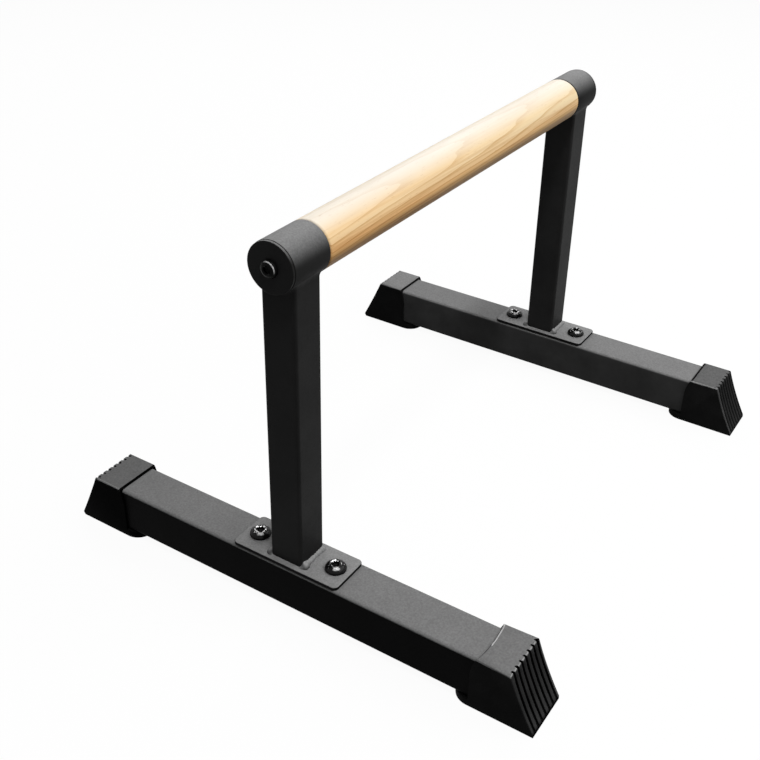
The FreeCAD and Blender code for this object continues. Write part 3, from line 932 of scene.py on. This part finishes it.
def foot_bead(end_name, material):
    """The bead round an upright's foot: a thin fillet, but full and uneven on the front and rear faces."""
    node = end_name + "_foot_weld"
    low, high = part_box(end_name + "_upright")
    half = (high.x - low.x) / 2
    centre = Vector(((low.x + high.x) / 2, (low.y + high.y) / 2, low.z))
    sections = []
    for point, normal, distance in square_path(half, UPRIGHT_CORNER, FOOT_FLAT_STEPS, BEAD_CORNER_STEPS):
        full = abs(normal.y) ** 2
        along = point.x / half
        blob = math.exp(-((along + BLOB_PLACE) / BLOB_WIDTH) ** 2)
        long_sway = math.sin(distance * LONG_SWAY + centre.x * SWAY_START) * LONG_SWAY_SHARE
        sway = long_sway + math.sin(distance * SHORT_SWAY) * SHORT_SWAY_SHARE
        ripple = math.sin(2 * math.pi * distance / RIPPLE_PITCH)
        swell = 1 + BLOB_SWELL * blob + TAIL_SWELL * max(0, along) + SWAY_DEPTH * sway + RIPPLE_DEPTH * ripple
        out, up = (thin + (most * swell - thin) * full for thin, most in zip(BEAD_THIN, BEAD_FULL))
        bulge = (BEAD_BULGE + BLOB_BULGE * blob) * full
        section = [centre + point - normal * BEAD_ROOT]
        for step in range(BEAD_STEPS + 1):
            t = step / BEAD_STEPS
            angle = math.pi / 2 * t
            across = out * ((1 - t) * (1 - bulge) + math.cos(angle) * bulge)
            rise = up * (t * (1 - bulge) + math.sin(angle) * bulge)
            section.append(centre + point + normal * across + Vector((0, 0, rise)))
        sections.append(section)
    return bead(node + "_bead", sections, material, node)


def saddle_bead(end_name, material):
    """The smooth hollow fillet along the saddle where an upright meets its sleeve."""
    low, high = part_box(end_name + "_upright")
    tube_low, tube_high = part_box(end_name + "_sleeve")
    half, radius = (high.x - low.x) / 2, (tube_high.z - tube_low.z) / 2
    axis = (tube_low + tube_high) / 2
    sections = []
    for point, normal, distance in square_path(half, UPRIGHT_CORNER, SADDLE_FLAT_STEPS, BEAD_CORNER_STEPS):
        drop = math.sqrt(radius ** 2 - point.y ** 2)
        corner = axis + Vector((point.x, point.y, -drop))
        tube_normal = Vector((0, point.y, -drop)) / radius
        along_tube = (normal - tube_normal * normal.dot(tube_normal)).normalized()
        leg = SADDLE_LEG * (1 + SADDLE_SWAY_DEPTH * math.sin(distance * SADDLE_SWAY))
        down = corner + Vector((0, 0, -leg))
        over = corner + along_tube * leg
        over = axis + Vector((over.x - axis.x, *(Vector((over.y, over.z - axis.z)).normalized() * radius)))
        sections.append([corner - normal * BEAD_ROOT] + curve(over, corner, down, BEAD_STEPS))
    return bead(end_name + "_saddle_bead", sections, material)


def dress(node, material):
    """Gives a CAD node that stays in view a better material."""
    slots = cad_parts[node].data.materials
    slots.clear()
    slots.append(material)


def ray_switch(tree):
    """1 for the rays that show the background as it is: camera, glossy and transmission rays."""
    path = add(tree, "LightPath").outputs
    seen = combine(tree, "MAXIMUM", path["Is Camera Ray"], path["Is Glossy Ray"])
    return combine(tree, "MAXIMUM", seen, path["Is Transmission Ray"])


def make_floor():
    """A plain pale floor that looks nearly white and keeps a soft shadow."""
    bm = bmesh.new()
    bmesh.ops.create_grid(bm, x_segments=FLOOR_SEGMENTS, y_segments=FLOOR_SEGMENTS, size=FLOOR_HALF)
    mesh = bpy.data.meshes.new("floor")
    bm.to_mesh(mesh)
    bm.free()
    material = bpy.data.materials.new("floor_white")
    material.use_nodes = True
    tree = material.node_tree
    tree.nodes.clear()
    seen = ray_switch(tree)
    plain = add(tree, "BsdfDiffuse", {"Color": spread(tree, seen, FLOOR_COLOUR, 1.0, 0.0, 1.0)}).outputs[0]
    bright = add(tree, "Emission", {"Color": WHITE, "Strength": 1.0}).outputs[0]
    share = combine(tree, "MULTIPLY", seen, FLOOR_GLOW)
    mixed = add(tree, "MixShader", {0: share, 1: plain, 2: bright}).outputs[0]
    add(tree, "OutputMaterial", {"Surface": mixed})
    mesh.materials.append(material)
    floor = bpy.data.objects.new("floor", mesh)
    bpy.context.scene.collection.objects.link(floor)


def make_world():
    """A white surround for the eye and for reflections, and a dim one for the light on the object."""
    world = bpy.data.worlds.new("studio")
    bpy.context.scene.world = world
    world.use_nodes = True
    tree = world.node_tree
    tree.nodes.clear()
    strength = spread(tree, ray_switch(tree), WORLD_FILL, 1.0, 0.0, 1.0)
    surround = add(tree, "Background", {"Color": WHITE, "Strength": strength}).outputs[0]
    add(tree, "OutputWorld", {"Surface": surround})


def softbox(name, azimuth, elevation, distance, width, height, radiance):
    """An area light that faces the object; azimuth runs from +X towards +Y, and radiance 1 is white."""
    light = bpy.data.lights.new(name, "AREA")
    light.shape = "RECTANGLE"
    light.size, light.size_y = width, height
    light.energy = radiance * math.pi * width * height
    a, e = math.radians(azimuth), math.radians(elevation)
    back = Vector((math.cos(a) * math.cos(e), math.sin(a) * math.cos(e), math.sin(e)))
    turn = back.to_track_quat("Z", "Y").to_matrix().to_4x4()
    lamp = bpy.data.objects.new(name, light)
    lamp.matrix_world = Matrix.Translation(LIT_POINT + back * distance) @ turn
    lamp.visible_camera = False
    bpy.context.scene.collection.objects.link(lamp)


def make_camera():
    """The camera at the photograph's place."""
    back = Vector((math.sin(YAW) * math.cos(PITCH), -math.cos(YAW) * math.cos(PITCH), math.sin(PITCH)))
    right = Vector((math.cos(YAW), math.sin(YAW), 0))
    up = back.cross(right)
    rolled_right = right * math.cos(ROLL) + up * math.sin(ROLL)
    rolled_up = up * math.cos(ROLL) - right * math.sin(ROLL)
    data = bpy.data.cameras.new("camera")
    data.sensor_width = SENSOR
    data.lens = FOCAL_PX / IMAGE * SENSOR
    data.shift_x = 0.5 - CENTRE_PX[0] / IMAGE
    data.shift_y = CENTRE_PX[1] / IMAGE - 0.5
    camera = bpy.data.objects.new("camera", data)
    turn = Matrix((rolled_right, rolled_up, back)).transposed().to_4x4()
    camera.matrix_world = Matrix.Translation(TARGET + back * DISTANCE) @ turn
    bpy.context.scene.collection.objects.link(camera)
    bpy.context.scene.camera = camera


# Copies of the powder coat and rubber whose bases and sheens are painted light and shade, toned per part
plate_coat = powder_coat("powder_coat_plate", **PLATE_COAT)
bead_coat = powder_coat("powder_coat_weld", **BEAD_COAT)
# Rubbers that paint shade and highlights onto the boots, and a lit copy for the ribs
shade_rubber = rubber("boot_rubber_painted_shade", **SHADE_RUBBER)
edge_highlight_rubber = rubber("boot_rubber_edge_highlight", **EDGE_HIGHLIGHT_RUBBER)
lip_highlight_rubber = rubber("boot_rubber_lip_highlight", **LIP_HIGHLIGHT_RUBBER)
lit_rib_rubber = rubber("boot_rubber_lit_rib", **LIT_RIB_RUBBER)
worn_socket = worn_steel()
bar_low, bar_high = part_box("grip_bar")
grip(beech((bar_low.z + bar_high.z) / 2))
for end_name, end in ENDS:
    # Per end, lit and shaded copies of the powder coat for posts, beams and sleeves
    post_coat = powder_coat(f"powder_coat_{end_name}_post", **POST_COAT[end_name])
    beam_coat = powder_coat(f"powder_coat_{end_name}_beam", **BEAM_COAT[end_name])
    sleeve_coat = powder_coat(f"powder_coat_{end_name}_sleeve", **SLEEVE_COAT[end_name])
    sleeve(end_name, end, sleeve_coat)
    disc(end_name, end, post_coat)
    foot_bead(end_name, bead_coat)
    saddle_bead(end_name, post_coat)
    plate(end_name + "_base_plate", plate_coat)
    dress(end_name + "_base_beam", beam_coat)
    dress(end_name + "_upright", post_coat)
    end_bolt(end_name, end)
    for side_name, side in SIDES:
        corner = f"{end_name}_{side_name}"
        # Per corner, a lit or shaded copy of the boot rubber
        boot_rubber = rubber(f"boot_rubber_{corner}", **BOOT_RUBBER[corner])
        boot(end_name, side_name, side, boot_rubber, shade_rubber, lip_highlight_rubber, edge_highlight_rubber, lit_rib_rubber)
        plate_bolt(end_name, corner, worn_socket)

make_floor()
make_world()
softbox("back_softbox", azimuth=33, elevation=40, distance=1.8, width=2.3, height=1.6, radiance=1.5)
softbox("key_softbox", azimuth=-145, elevation=68, distance=1.9, width=0.23, height=0.23, radiance=64.0)
softbox("side_softbox", azimuth=-78, elevation=48, distance=2.0, width=2.2, height=1.3, radiance=3.15)
make_camera()
bpy.context.scene.view_settings.view_transform = "Standard"
